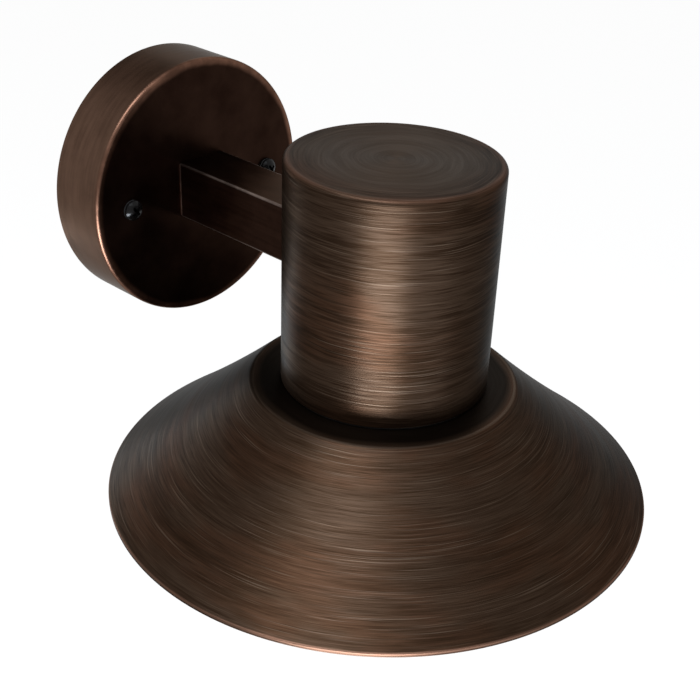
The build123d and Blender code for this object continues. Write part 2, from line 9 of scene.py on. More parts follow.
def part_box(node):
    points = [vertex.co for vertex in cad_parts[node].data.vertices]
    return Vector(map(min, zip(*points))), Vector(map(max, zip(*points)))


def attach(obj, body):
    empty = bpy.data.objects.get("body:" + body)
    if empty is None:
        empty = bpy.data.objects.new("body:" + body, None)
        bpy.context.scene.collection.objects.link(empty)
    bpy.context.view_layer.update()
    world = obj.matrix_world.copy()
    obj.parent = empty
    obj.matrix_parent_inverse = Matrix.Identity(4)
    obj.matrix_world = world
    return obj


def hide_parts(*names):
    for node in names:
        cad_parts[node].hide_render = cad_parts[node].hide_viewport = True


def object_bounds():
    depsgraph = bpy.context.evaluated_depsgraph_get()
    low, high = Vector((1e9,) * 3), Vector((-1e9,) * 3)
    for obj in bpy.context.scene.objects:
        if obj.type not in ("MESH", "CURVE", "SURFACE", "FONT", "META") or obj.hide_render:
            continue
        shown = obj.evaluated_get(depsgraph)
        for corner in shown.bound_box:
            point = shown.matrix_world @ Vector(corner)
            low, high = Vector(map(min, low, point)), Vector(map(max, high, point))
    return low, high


# Outdoor wall lamp, in metres. The wall is the plane y = 0, the lamp stands out along -Y.
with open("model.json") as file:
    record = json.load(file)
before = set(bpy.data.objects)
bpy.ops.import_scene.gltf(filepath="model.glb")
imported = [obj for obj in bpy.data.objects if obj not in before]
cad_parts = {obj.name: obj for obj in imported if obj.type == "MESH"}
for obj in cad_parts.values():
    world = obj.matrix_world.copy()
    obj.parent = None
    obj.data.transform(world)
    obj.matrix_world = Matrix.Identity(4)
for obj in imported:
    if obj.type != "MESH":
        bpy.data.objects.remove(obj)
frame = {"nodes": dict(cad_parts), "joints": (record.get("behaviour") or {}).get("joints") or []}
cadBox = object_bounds()
mm = 0.001
weld = 0.0005 * mm  # points nearer than this are one
sharpAngle = radians(38)  # edges that turn further are shaded sharp
noiseMiddle = 0.5  # of a noise's range
scene = bpy.context.scene
headAxis = Vector(frame["joints"][0]["pos_m"])  # the bulb turns about the lamp head's axis


class Field:
    # one socket of a node tree, with arithmetic that adds Math nodes
    def __init__(self, graph, socket):
        self.graph = graph
        self.socket = socket

    def calc(self, operation, *others):
        return self.graph.maths(operation, self, *others)

    def swing(self):
        # a noise, measured from the middle of its range
        return self - noiseMiddle

    def __abs__(self):
        return self.calc("ABSOLUTE")

    def __add__(self, other):
        return self.calc("ADD", other)

    def __radd__(self, other):
        return self.graph.maths("ADD", other, self)

    def __sub__(self, other):
        return self.calc("SUBTRACT", other)

    def __rsub__(self, other):
        return self.graph.maths("SUBTRACT", other, self)

    def __mul__(self, other):
        return self.calc("MULTIPLY", other)

    def __rmul__(self, other):
        return self.graph.maths("MULTIPLY", other, self)

    def __truediv__(self, other):
        return self.calc("DIVIDE", other)

    def __rtruediv__(self, other):
        return self.graph.maths("DIVIDE", other, self)

    def __pow__(self, other):
        return self.calc("POWER", other)

    def __rpow__(self, other):
        return self.graph.maths("POWER", other, self)


class Graph:
    def __init__(self, tree):
        self.tree = tree

    def add(self, kind, settings=None, sockets=None, out=0):
        # sockets: a value, a field or a list of fields for each; out: the output to go on from
        node = self.tree.nodes.new(kind)
        for name, value in (settings or {}).items():
            setattr(node, name, value)
        for key, value in (sockets or {}).items():
            if isinstance(value, Field):
                value = [value]
            if isinstance(value, list):
                for field in value:
                    self.tree.links.new(field.socket, node.inputs[key])
            else:
                node.inputs[key].default_value = value
        return Field(self, node.outputs[out]) if len(node.outputs) else node

    def outputs(self, kind, sockets=None):
        # all the outputs of a new node, in order
        first = self.add(kind, None, sockets)
        return [Field(self, socket) for socket in first.socket.node.outputs]

    def maths(self, operation, *values):
        return self.add("ShaderNodeMath", {"operation": operation}, dict(enumerate(values)))

    def split(self, vector):
        return self.outputs("ShaderNodeSeparateXYZ", {0: vector})

    def join(self, x, y, z):
        return self.add("ShaderNodeCombineXYZ", None, {0: x, 1: y, 2: z})

    def noise(self, vector, scale=1.0, detail=2.0, roughness=0.5):
        sockets = {"Vector": vector, "Scale": scale, "Detail": detail, "Roughness": roughness}
        return self.add("ShaderNodeTexNoise", None, sockets)

    def band(self, value, low, high):
        # 0 below low, 1 above high, smooth between
        sockets = {"Value": value, "From Min": low, "From Max": high}
        return self.add("ShaderNodeMapRange", {"interpolation_type": "SMOOTHSTEP"}, sockets)

    def blend(self, factor, first, second):
        # inputs 6 and 7 and output 2 are the Mix node's colours
        sockets = {0: factor, 6: first, 7: second}
        return self.add("ShaderNodeMix", {"data_type": "RGBA"}, sockets, out=2)


def mixed(first, second, share):
    # a share of the first, the rest of the second
    return first * share + second * (1.0 - share)


def colour(red, green, blue):
    return (red, green, blue, 1.0)


def newMaterial(name):
    material = bpy.data.materials.new(name)
    material.use_nodes = True
    material.node_tree.nodes.clear()
    return material, Graph(material.node_tree)


def finishMaterial(material, g, sockets):
    shader = g.add("ShaderNodeBsdfPrincipled", None, sockets)
    g.add("ShaderNodeOutputMaterial", None, {"Surface": shader})
    return material


def bumped(g, height, strength, distance):
    sockets = {"Strength": strength, "Distance": distance, "Height": height}
    return g.add("ShaderNodeBump", None, sockets)


def placed(g, centre=(0.0, 0.0, 0.0)):
    # object coordinates, measured from a point of the lamp
    where = g.add("ShaderNodeTexCoord", out="Object")
    return g.add("ShaderNodeMapping", None, {"Vector": where, "Location": tuple(-c for c in centre)})


# Worn edges, painted highlights and a painted shadow line: a line along each, broken in spots
wearAndLightLines = {
    "ragged": 0.5,
    "spots": (0.35, 0.65),
    "least": 0.4,  # share of the wear or painted highlight that shows between the spots
    "core": 0.2,  # share of the half width at full strength
}


def wornAndLitEdges(g, base, finish, edges, ragged, where):
    # edges: (measure, place, mark), with each mark as (offset, half width, share, tone of the finish):
    # wear, a painted highlight or a painted shadow line
    spots = g.band(where + ragged.swing() * wearAndLightLines["ragged"], *wearAndLightLines["spots"])
    edgeMarks = mixed(1.0, spots, wearAndLightLines["least"])
    for measure, place, (offset, half, most, tone) in edges:
        reach = abs(measure - (place + offset)) + ragged.swing() * half
        share = 1.0 - g.band(reach, half * wearAndLightLines["core"], half)
        base = g.blend(share * edgeMarks * most, base, finish[tone])
    return base


# Brushed bronze: rings of short brush lines round an upright axis, worn to copper on its edges, with
# painted highlights and painted shade on some edges and where the head meets the shade
brushed = {
    "dark": colour(0.0150, 0.0080, 0.0045),
    "mid": colour(0.0378, 0.0233, 0.0151),
    "face": colour(0.0480, 0.0325, 0.0230),
    "faceDeep": colour(0.0385, 0.0248, 0.0165),
    "red": colour(0.041, 0.0180, 0.0095),
    # light scratch lines, also laid along the shade's bend as a painted highlight
    "scratchAndHighlight": colour(0.085, 0.060, 0.043),
    # copper of worn edges; on the head's top edge it is partly a painted highlight
    "wearAndHighlight": colour(0.165, 0.088, 0.060),
    # painted shade: near black, standing in for shadow where the head meets the shade, and for a painted
    # shadow line beside the shade's bend
    "paintedShade": colour(0.0040, 0.0024, 0.0015),
    "grazing": colour(0.49, 0.515, 0.525),
    "roughness": 0.45,
    "roughnessSwing": 0.15,
    "anisotropy": 0.48,
    "anisotropyTurn": 0.25,  # of a whole turn
    "bump": 0.4,
    "bumpDistance": 0.025 * mm,
    "bumpFine": 0.6,  # the rest of the bump is medium lines
    "wander": 0.9 * mm,  # how far the lines stray, and how far where the finish is even
    "swirl": 6.0 * mm,
    "driftAcross": 48.0,  # scales of the straying
    "driftAlong": 90.0,
    # width, length, detail, shift and lean of each kind of brush line
    "lines": {
        "fine": (0.35 * mm, 12 * mm, 2.0, 0.0, 0.0),
        "medium": (0.65 * mm, 28 * mm, 2.0, 0.0, 0.0),
        "broad": (7 * mm, 80 * mm, 3.0, 0.0, 0.0),
        "patches": (30 * mm, 60 * mm, 3.0, 0.0, 0.0),
        "swirls": (2.4 * mm, 24 * mm, 3.0, 3.0, 0.0),
        "light": (0.45 * mm, 45 * mm, 1.0, 5.0, 0.02),
        "deep": (0.65 * mm, 36 * mm, 1.0, 9.0, -0.015),
    },
    "toneShares": (0.44, 0.26, 0.30),  # of fine, medium and broad lines
    "toneBand": (0.36, 0.64),
    "redBand": (0.44, 0.62),
    "redShare": 0.6,
    "markBand": (0.60, 0.78),
    "lightShare": 0.7,
    "deepShare": 0.35,
    "shadedRagged": 0.4,  # of the stretch of painted shade
}


def brushedBronze(name, centre, edges, quiet, shaded, contrast):
    # edges: (place along the outline, mark) of each worn edge, painted highlight or painted shadow line
    # quiet, shaded: (place, place, share), the stretch over which the finish turns even, or darkens with
    # painted shade
    material, g = newMaterial(name)
    x, y, z = g.split(placed(g, centre))
    radius = (x * x + y * y) ** 0.5
    along = radius - z  # grows from the middle of the face, out and down the outline
    across, rise = brushed["driftAcross"], brushed["driftAlong"]
    drift = g.noise(g.join(x * across, y * across, along * rise), detail=1.0).swing()
    start, end, share = quiet
    even = g.band(along, start, end) * share
    clear = 1.0 - even
    brush = along + drift * (brushed["wander"] + even * brushed["swirl"])

    def lines(kind):
        wide, length, detail, shift, lean = brushed["lines"][kind]
        climb = brush + (x + y) * lean
        return g.noise(g.join(x / length + shift, y / length, climb / wide), detail=detail)

    fine, medium, broad, patches = (lines(kind) for kind in ("fine", "medium", "broad", "patches"))
    light, deep = (g.band(lines(kind), *brushed["markBand"]) for kind in ("light", "deep"))
    marks = clear * contrast
    fineShare, mediumShare, broadShare = brushed["toneShares"]
    streaks = fine * fineShare + medium * mediumShare + broad * broadShare
    tone = g.band(streaks.swing() * marks + noiseMiddle, *brushed["toneBand"])
    reddened = g.band(patches, *brushed["redBand"]) * brushed["redShare"]
    tint = g.blend(reddened, brushed["mid"], brushed["red"])
    swirls = g.band(lines("swirls"), *brushed["toneBand"])
    face = g.blend(swirls, brushed["faceDeep"], brushed["face"])
    base = g.blend(even, g.blend(tone, brushed["dark"], tint), face)
    base = g.blend(light * marks * brushed["lightShare"], base, brushed["scratchAndHighlight"])
    base = g.blend(deep * marks * brushed["deepShare"], base, brushed["dark"])
    # painted shade: darker near the head's mouth, and on the shade's shoulder beside the head
    start, end, share = shaded
    depth = g.band(along + drift * (brushed["shadedRagged"] * abs(end - start)), start, end)
    base = g.blend(depth * share, base, brushed["paintedShade"])
    edgeMarks = [(along, place, wearAndHighlight) for place, wearAndHighlight in edges]
    base = wornAndLitEdges(g, base, brushed, edgeMarks, medium, patches)
    height = mixed(fine, medium, brushed["bumpFine"]) * clear
    return finishMaterial(material, g, {
        "Base Color": base,
        "Metallic": 1.0,
        "Roughness": brushed["roughness"] + (broad - medium) * brushed["roughnessSwing"],
        "Specular Tint": brushed["grazing"],
        "Anisotropic": brushed["anisotropy"],
        "Anisotropic Rotation": brushed["anisotropyTurn"],
        "Normal": bumped(g, height, brushed["bump"], brushed["bumpDistance"]),
    })


# Satin bronze of the plate and the arm: darker and redder, cloudy, hardly brushed, with a painted sheen on
# the plate's side and painted highlights on edges
satin = {
    "dark": colour(0.0100, 0.0044, 0.0029),
    "mid": colour(0.0220, 0.0108, 0.0072),
    # painted sheen: a lighter colour for the plate's side, standing in for light on it
    "bare": colour(0.088, 0.0505, 0.0345),
    # copper of the plate's worn rim, laid on as a painted highlight
    "wearAndHighlight": colour(0.140, 0.070, 0.046),
    # painted highlight on the arm's corners and its seam with the plate
    "glint": colour(0.32, 0.25, 0.215),
    "grazing": colour(0.57, 0.55, 0.53),
    "roughness": 0.37,
    "grainSwing": 0.12,  # of the roughness
    "cloudSwing": 0.1,
    "bump": 0.25,
    "bumpDistance": 0.02 * mm,
    "bumpPeel": 0.5,  # the rest of the bump is grain
    "grainDetail": 3.0,
    "clouds": (55.0, 4.0, 0.6),  # scale, detail, roughness
    "peel": (900.0, 2.0),
    "toneClouds": 0.6,  # the rest of the tone is grain
    "toneBand": (0.3, 0.7),
    "paintedSheenLeast": 0.6,  # share of the painted sheen that the tone leaves alone
}


def satinBronze(name, stretch, edges, bare=None):
    # stretch: scales of the grain along x, y and z
    # edges: makes, from x, y and z, the (measure, place, mark) of each worn edge or painted highlight
    # bare: makes from the graph and them the share of painted sheen, a lighter colour that stands in for
    # light on the side
    material, g = newMaterial(name)
    where = placed(g)
    x, y, z = g.split(where)
    streaked = g.join(x * stretch[0], y * stretch[1], z * stretch[2])
    grain = g.noise(streaked, detail=satin["grainDetail"])
    clouds = g.noise(where, *satin["clouds"])
    peel = g.noise(where, *satin["peel"])
    tone = g.band(mixed(clouds, grain, satin["toneClouds"]), *satin["toneBand"])
    base = g.blend(tone, satin["dark"], satin["mid"])
    # painted sheen, lighter where light falls on the side
    if bare:
        sheenShare = bare(g, x, y, z) * mixed(1.0, tone, satin["paintedSheenLeast"])
        base = g.blend(sheenShare, base, satin["bare"])
    base = wornAndLitEdges(g, base, satin, edges(x, y, z), grain, clouds)
    swing = grain.swing() * satin["grainSwing"] + clouds.swing() * satin["cloudSwing"]
    height = mixed(peel, grain, satin["bumpPeel"])
    return finishMaterial(material, g, {
        "Base Color": base,
        "Metallic": 1.0,
        "Roughness": satin["roughness"] + swing,
        "Specular Tint": satin["grazing"],
        "Normal": bumped(g, height, satin["bump"], satin["bumpDistance"]),
    })


# Rounded outlines for spun pieces
def filleted(corners, steps=7, guard=0.35 * mm):
    # corners: (radius, height, fillet), the first and last are the ends of the outline
    # guard: a short straight stretch on both sides of a fillet, which keeps the faces beside it flat
    points = []
    for i, (r, h, fillet) in enumerate(corners):
        here = Vector((r, h))
        if fillet == 0 or i in (0, len(corners) - 1):
            points.append(here)
            continue
        back = (Vector(corners[i - 1][:2]) - here).normalized()
        ahead = (Vector(corners[i + 1][:2]) - here).normalized()
        half = back.angle(ahead) / 2
        reach = fillet / tan(half)
        middle = here + (back + ahead).normalized() * fillet / sin(half)
        start = here + back * reach - middle
        end = here + ahead * reach - middle
        points.append(here + back * (reach + guard))
        for k in range(steps + 1):
            points.append(middle + start.slerp(end, k / steps) * fillet)
        points.append(here + ahead * (reach + guard))
    return points


def spread(start, end, count):
    # evenly spaced corners between two points, neither of them included
    return [
        (start[0] + (end[0] - start[0]) * k / count, start[1] + (end[1] - start[1]) * k / count, 0)
        for k in range(1, count)
    ]


def hollow(start, end, sag, count):
    # corners along a parabola that sags below the straight line between two points
    start, end = Vector(start), Vector(end)
    chord = end - start
    side = Vector((-chord.y, chord.x)).normalized()
    if side.y > 0:
        side = -side
    shares = [k / count for k in range(1, count)]  # 4 t (1 - t) is 1 half-way
    return [(*(start + chord * t + side * sag * 4 * t * (1 - t)), 0) for t in shares]


def newTree(name, kinds):
    # a node tree with these inputs: the tree, their identifiers, its graph and its inputs as fields
    tree = bpy.data.node_groups.new(name, "GeometryNodeTree")
    face = tree.interface
    identifiers = {
        key: face.new_socket(key, in_out="INPUT", socket_type="NodeSocket" + kind).identifier
        for key, kind in kinds.items()
    }
    face.new_socket("Shape", in_out="OUTPUT", socket_type="NodeSocketGeometry")
    g = Graph(tree)
    return tree, identifiers, g, dict(zip(kinds, g.outputs("NodeGroupInput")))


# Geometry nodes that spin an outline in the plane y = 0 about the z axis
def spinTree():
    tree, identifiers, g, given = newTree("spunShell", {
        "Outline": "Geometry", "Rows": "Int", "Segments": "Int", "Tilt": "Float", "Centre": "Vector",
        "Finish": "Material",
    })
    grid = g.add("GeometryNodeMeshGrid", None, {
        "Size X": 1.0, "Size Y": 1.0, "Vertices X": given["Segments"] + 1.0, "Vertices Y": given["Rows"],
    })
    gridHalf = 0.5  # the grid is one unit wide and lies about the origin
    u, v, _ = g.split(g.add("GeometryNodeInputPosition"))
    row = g.add("FunctionNodeFloatToInt", {"rounding_mode": "ROUND"}, {
        0: (v + gridHalf) * (given["Rows"] - 1.0),
    })
    point = g.add("GeometryNodeSampleIndex", {"data_type": "FLOAT_VECTOR"}, {
        "Geometry": given["Outline"], "Value": g.add("GeometryNodeInputPosition"), "Index": row,
    })
    radius, _, height = g.split(point)
    angle = (u + gridHalf) * (2 * pi)
    turned = g.join(radius * angle.calc("COSINE"), radius * angle.calc("SINE"), height)
    shell = g.add("GeometryNodeSetPosition", None, {"Geometry": grid, "Position": turned})
    shell = g.add("GeometryNodeMergeByDistance", None, {"Geometry": shell, "Distance": 2 * weld})
    shell = g.add("GeometryNodeTransform", None, {
        "Geometry": shell, "Rotation": g.join(given["Tilt"], 0.0, 0.0), "Translation": given["Centre"],
    })
    shell = g.add("GeometryNodeSetShadeSmooth", None, {"Geometry": shell})
    shell = g.add("GeometryNodeRealizeInstances", None, {"Geometry": shell})
    shell = g.add("GeometryNodeSetMaterial", None, {"Geometry": shell, "Material": given["Finish"]})
    g.add("NodeGroupOutput", None, {"Shape": shell})
    return tree, identifiers


spunShell, spunInputs = spinTree()


def newPiece(name, mesh):
    piece = bpy.data.objects.new(name, mesh)
    scene.collection.objects.link(piece)
    return piece


def baked(piece):
    # the evaluated piece as a plain mesh, with its faces turned outwards
    bpy.context.view_layer.update()
    depsgraph = bpy.context.evaluated_depsgraph_get()
    mesh = bpy.data.meshes.new_from_object(piece.evaluated_get(depsgraph))
    piece.modifiers.clear()
    body = bmesh.new()
    body.from_mesh(mesh)
    bmesh.ops.remove_doubles(body, verts=body.verts, dist=weld)
    bmesh.ops.dissolve_degenerate(body, edges=body.edges, dist=weld)
    bmesh.ops.recalc_face_normals(body, faces=body.faces)
    body.to_mesh(mesh)
    body.free()
    mesh.set_sharp_from_angle(angle=sharpAngle)
    old = piece.data
    piece.data = mesh
    bpy.data.meshes.remove(old)
    return piece


def grown(name, outline, seats, tree, identifiers, values):
    # runs a node tree on an outline in the plane y = 0, followed by the seats of what it makes
    mesh = bpy.data.meshes.new(name)
    points = [(r, 0.0, h) for r, h in outline] + [tuple(seat) for seat in seats]
    mesh.from_pydata(points, [(i, i + 1) for i in range(len(outline) - 1)], [])
    piece = newPiece(name, mesh)
    modifier = piece.modifiers.new(tree.name, "NODES")
    modifier.node_group = tree
    modifier[identifiers["Rows"]] = len(outline)
    for key, value in values.items():
        modifier[identifiers[key]] = value
    return baked(piece)


def spun(name, outline, material, centre, tilt=0.0, segments=192):
    values = {"Segments": segments, "Tilt": tilt, "Centre": centre, "Finish": material}
    return grown(name, outline, [], spunShell, spunInputs, values)


def punched(piece, pins, segments=32):
    # pins: (middle of the hole, direction, radius, depth)
    body = bmesh.new()
    for middle, direction, radius, depth in pins:
        turn = Vector(direction).to_track_quat("Z", "Y").to_matrix().to_4x4()
        bmesh.ops.create_cone(
            body, cap_ends=True, segments=segments, radius1=radius, radius2=radius, depth=depth,
            matrix=Matrix.Translation(middle) @ turn,
        )
    mesh = bpy.data.meshes.new("pins")
    body.to_mesh(mesh)
    body.free()
    cutter = newPiece("pins", mesh)
    cut = piece.modifiers.new("holes", "BOOLEAN")
    cut.operation = "DIFFERENCE"
    cut.solver = "EXACT"
    cut.object = cutter
    baked(piece)
    bpy.data.objects.remove(cutter)
    bpy.data.meshes.remove(mesh)
    return piece


def settle(piece, body, slot, *replaced):
    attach(piece, body)
    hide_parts(*replaced)
    print("made", piece.name, len(piece.data.polygons), "faces")
    return piece


def extent(node):
    low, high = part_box(node)
    return high - low


def solids(node):
    # boxes of a CAD node's separate solids, in a fixed order
    body = bmesh.new()
    body.from_mesh(frame["nodes"][node].data)
    bmesh.ops.remove_doubles(body, verts=body.verts, dist=weld)
    left = set(body.verts)
    boxes = []
    while left:
        near = [left.pop()]
        corners = []
        while near:
            vert = near.pop()
            corners.append(vert.co.copy())
            beside = {edge.other_vert(vert) for edge in vert.link_edges} & left
            left -= beside
            near.extend(beside)
        boxes.append((Vector(map(min, zip(*corners))), Vector(map(max, zip(*corners)))))
    body.free()
    return sorted(boxes, key=lambda box: [round(c / mm) for c in box[0]])


# Holes for the bolts and wires of the arm, and for other screws
armBolts = {
    "pitch": 13.4 * mm,
    "hole": 2.25 * mm,
    "wireHole": 4.3 * mm,
    "sheetPin": 6 * mm,  # lengths of the pins that punch the flat sheets and the head's round wall
    "headPin": 12 * mm,
    "headPinIn": 2 * mm,
}
armWay = (0.0, -1.0, 0.0)
upright = (0.0, 0.0, 1.0)


def armHoles(y, depth):
    # four bolts and the wires, where the arm is fixed
    half = armBolts["pitch"] / 2
    pins = [((x, y, z), armWay, armBolts["hole"], depth) for x in (-half, half) for z in (-half, half)]
    return pins + [((0.0, y, 0.0), armWay, armBolts["wireHole"], depth)]


# Lamp head: a cup with a closed top, its edge rounded
head = {
    "edge": 2.0 * mm,
    "lip": 0.4 * mm,
    "wall": 1.5 * mm,
    "inside": 0.5 * mm,
    "topRows": 5,
    "sideRows": 12,
    "innerRows": 8,
    "contrast": 1.2,
    "edgeWearAndHighlight": (-1.2 * mm, 2.2 * mm, 0.26, "wearAndHighlight"),  # offset, half width, share, tone: wear on the top edge, partly a painted highlight
    "quiet": (20 * mm, 0.8),  # how far in the top turns even, and its share
    "shaded": (15 * mm, 0.15),  # how far up from the mouth painted shade darkens the finish, and its share
}
headLow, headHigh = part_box("lamp_cylinder")
headRadius = extent("lamp_cylinder").x / 2
headCentre = (headAxis.x, headAxis.y, 0.0)
headInner = headRadius - head["wall"]
headRoof = headHigh.z - head["wall"]
headOutline = filleted(
    [(0.0, headHigh.z, 0)]
    + spread((0.0, headHigh.z), (headRadius, headHigh.z), head["topRows"])
    + [(headRadius, headHigh.z, head["edge"])]
    + spread((headRadius, headHigh.z), (headRadius, headLow.z), head["sideRows"])
    + [(headRadius, headLow.z, head["lip"]), (headInner, headLow.z, head["lip"])]
    + spread((headInner, headLow.z), (headInner, headRoof), head["innerRows"])
    + [(headInner, headRoof, head["inside"]), (0.0, headRoof, 0)]
)
# places along the outline, as the bronze measures them
headEdge = headRadius - headHigh.z
headMouth = headRadius - headLow.z
quietDepth, quietShare = head["quiet"]
shadedHeight, shadedShare = head["shaded"]
headBronze = brushedBronze(
    "brushedBronzeHead", headCentre, [(headEdge, head["edgeWearAndHighlight"])],
    (headEdge, headEdge - quietDepth, quietShare), (headMouth - shadedHeight, headMouth, shadedShare),
    head["contrast"],
)
headHoles = armHoles(headHigh.y - armBolts["headPinIn"], armBolts["headPin"])
lampHead = punched(spun("lampHead", headOutline, headBronze, headCentre), headHoles)
settle(lampHead, "lamp", "brushed_bronze", "lamp_cylinder")

# Spun shade: flat shoulder, hollow cone, turned-down lip
shade = {
    "shoulder": 56.0 * mm,
    "opening": 33.0 * mm,
    "sheet": 1.2 * mm,
    "bend": 3.2 * mm,
    "flare": 1.0 * mm,
    "lip": 1.8 * mm,
    "hem": 0.5 * mm,
    "shoulderRows": 4,
    "rows": 26,
    "bendRows": 2,  # rows of the cone that the bend takes up
    "segments": 256,
    "contrast": 0.8,
    # offset, half width, share and tone of each edge line: a painted highlight on the bend, a painted
    # shadow line beside it, wear on the hem and lip
    # painted highlight along the bend
    "shoulderHighlight": (-0.6 * mm, 1.1 * mm, 0.55, "scratchAndHighlight"),
    # painted shadow line just outside the bend
    "bendShadowLine": (2.4 * mm, 1.2 * mm, 0.3, "paintedShade"),
    "hemWear": (0.0, 1.2 * mm, 0.75, "wearAndHighlight"),
    "lipWear": (0.0, 0.8 * mm, 0.75, "wearAndHighlight"),
    "quiet": (6 * mm, 0.75),  # how far in the shoulder turns even, and its share
    "shaded": (1 * mm, 5 * mm, 0.83),  # where in from its edge painted shade darkens the shoulder beside the head, and its share
}
shadeLow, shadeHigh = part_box("shade")
shadeRadius = extent("shade").x / 2
shadeUnder = shadeHigh.z - shade["sheet"]
coneLow = shadeLow.z + shade["lip"]
coneRun = shadeRadius - shade["shoulder"]
coneFall = shadeHigh.z - coneLow
coneLength = hypot(coneRun, coneFall)
# the corners inside lie where the sheet's thickness puts them
shoulderIn = shade["sheet"] * (coneLength - coneRun) / coneFall
footDown = shade["sheet"] * (coneLength - coneFall) / coneRun
openTop = (shade["opening"], shadeHigh.z)
shoulderTop = (shade["shoulder"], shadeHigh.z)
coneFoot = (shadeRadius, coneLow)
innerFoot = (shadeRadius - shade["sheet"], coneLow - footDown)
innerShoulder = (shade["shoulder"] - shoulderIn, shadeUnder)
shadeOutline = filleted(
    [(*openTop, 0)]
    + spread(openTop, shoulderTop, shade["shoulderRows"])
    + [(*shoulderTop, shade["bend"])]
    + hollow(shoulderTop, coneFoot, shade["flare"], shade["rows"])[shade["bendRows"]:]
    + [(*coneFoot, shade["hem"]), (shadeRadius, shadeLow.z, shade["hem"])]
    + [(shadeRadius - shade["sheet"], shadeLow.z, shade["hem"]), (*innerFoot, 0)]
    + hollow(innerFoot, innerShoulder, shade["flare"], shade["rows"])
    + [(*innerShoulder, 0), (shade["opening"], shadeUnder, 0), (*openTop, 0)]
)
shoulderEdge = shade["shoulder"] - shadeHigh.z
shadeEdgeMarks = [
    (shoulderEdge, shade["shoulderHighlight"]),
    (shoulderEdge, shade["bendShadowLine"]),
    (shadeRadius - coneLow, shade["hemWear"]),
    (shadeRadius - shadeLow.z, shade["lipWear"]),
]
quietDepth, quietShare = shade["quiet"]
shadedStart, shadedEnd, shadedShare = shade["shaded"]
shadeBronze = brushedBronze(
    "brushedBronzeShade", headCentre, shadeEdgeMarks,
    (shoulderEdge, shoulderEdge - quietDepth, quietShare),
    (shoulderEdge - shadedStart, shoulderEdge - shadedEnd, shadedShare),
    shade["contrast"],
)
shadeHoles = [
    ((*(low + high).xy / 2, shadeHigh.z), upright, armBolts["hole"], armBolts["sheetPin"])
    for low, high in solids("shade_screws")
]
spunShade = spun("spunShade", shadeOutline, shadeBronze, headCentre, segments=shade["segments"])
settle(punched(spunShade, shadeHoles), "lamp", "brushed_bronze", "shade")

# Wall plate: a drawn cup with its open side to the wall
plate = {
    "edge": 1.6 * mm,
    "wall": 1.2 * mm,
    "inside": 0.4 * mm,
    "rim": 0.3 * mm,
    "faceRows": 6,
    "sideRows": 5,
    "grain": (60.0, 600.0, 60.0),
    "edgeWearAndHighlight": (-0.8 * mm, 3.2 * mm, 1.0, "wearAndHighlight"),  # offset, half width, share, tone: wear on the rim, laid wide as a painted highlight
    "bare": (-1 * mm, 2 * mm),  # from the edge of the face, where the painted sheen on the side starts
    "sheenFade": (0.6, 0.97),  # shares of the radius up and down, over which the painted sheen fades out
    "sheenFadeShare": 0.85,
}
plateRadius = extent("wall_plate").x / 2
plateDepth = extent("wall_plate").y
plateHeight = sum(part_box("wall_plate"), Vector()).z / 2
plateInner = plateRadius - plate["wall"]
plateFace = plateDepth - plate["wall"]
plateEdge = plateRadius - plateDepth  # along the outline, as plateAlong measures
plateOutline = filleted(
    [(0.0, plateDepth, 0)]
    + spread((0.0, plateDepth), (plateRadius, plateDepth), plate["faceRows"])
    + [(plateRadius, plateDepth, plate["edge"])]
    + spread((plateRadius, plateDepth), (plateRadius, 0.0), plate["sideRows"])
    + [(plateRadius, 0.0, plate["rim"]), (plateInner, 0.0, plate["rim"])]
    + [(plateInner, plateFace, plate["inside"]), (0.0, plateFace, 0)]
)


def plateAlong(x, y, z):
    # measured from the middle of the face, out and back along the side
    rise = z - plateHeight
    return (x * x + rise * rise) ** 0.5 + y


def plateEdges(x, y, z):
    return [(plateAlong(x, y, z), plateEdge, plate["edgeWearAndHighlight"])]


def paintedPlateSheen(g, x, y, z):
    # painted sheen: the side is painted lighter all round, less on its top and underside, standing in for
    # how the light falls
    near, far = (plateRadius * share for share in plate["sheenFade"])
    sheenFade = g.band(abs(z - plateHeight), near, far) * plate["sheenFadeShare"]
    start, end = (plateEdge + offset for offset in plate["bare"])
    return g.band(plateAlong(x, y, z), start, end) * (1.0 - sheenFade)


plateBronze = satinBronze("satinBronzePlate", plate["grain"], plateEdges, paintedPlateSheen)
plateHoles = armHoles(-plateFace, armBolts["sheetPin"])
for low, high in solids("plate_screws"):
    middle = ((low.x + high.x) / 2, -plateFace, (low.z + high.z) / 2)
    plateHoles.append((middle, armWay, armBolts["hole"], armBolts["sheetPin"]))
wallPlate = spun("wallPlate", plateOutline, plateBronze, (0.0, 0.0, plateHeight), tilt=pi / 2)
settle(punched(wallPlate, plateHoles), "lamp", "satin_bronze", "wall_plate")

# Arm: a square tube, coped to sit against the head
tube = {
    "corner": 0.8 * mm,
    "innerCorner": 0.3 * mm,
    "wall": 1.5 * mm,
    "gap": 0.1 * mm,
    "rows": 20,
    "halfRows": 5,  # round the tube: half of its top or bottom, and a side
    "sideRows": 9,
    "grain": (700.0, 45.0, 700.0),
    "cornerHighlight": (-0.48 * mm, 0.5 * mm, 0.42, "glint"),  # offset, half width, share, tone of the painted highlights on the corners and the seam
    "seamHighlight": (0.0, 0.9 * mm, 1.0, "glint"),
    "topBand": 0.3 * mm,  # what counts as the top, and how far back the seam's painted highlight is moved there, out of sight
    "seamShift": 6.0 * mm,
}
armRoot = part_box("arm")[1].y
armHalf = extent("arm").x / 2


def squareRing(half, corner):
    # once round, from the middle of the top
    stops = [(0.0, half), (half, half), (half, -half), (-half, -half), (-half, half), (0.0, half)]
    short, side = tube["halfRows"], tube["sideRows"]
    ring = [(*stops[0], 0)]
    for start, end, count in zip(stops, stops[1:], (short, side, 2 * short, side, short)):
        ring += spread(start, end, count) + [(*end, corner)]
    return filleted(ring)[:-1]


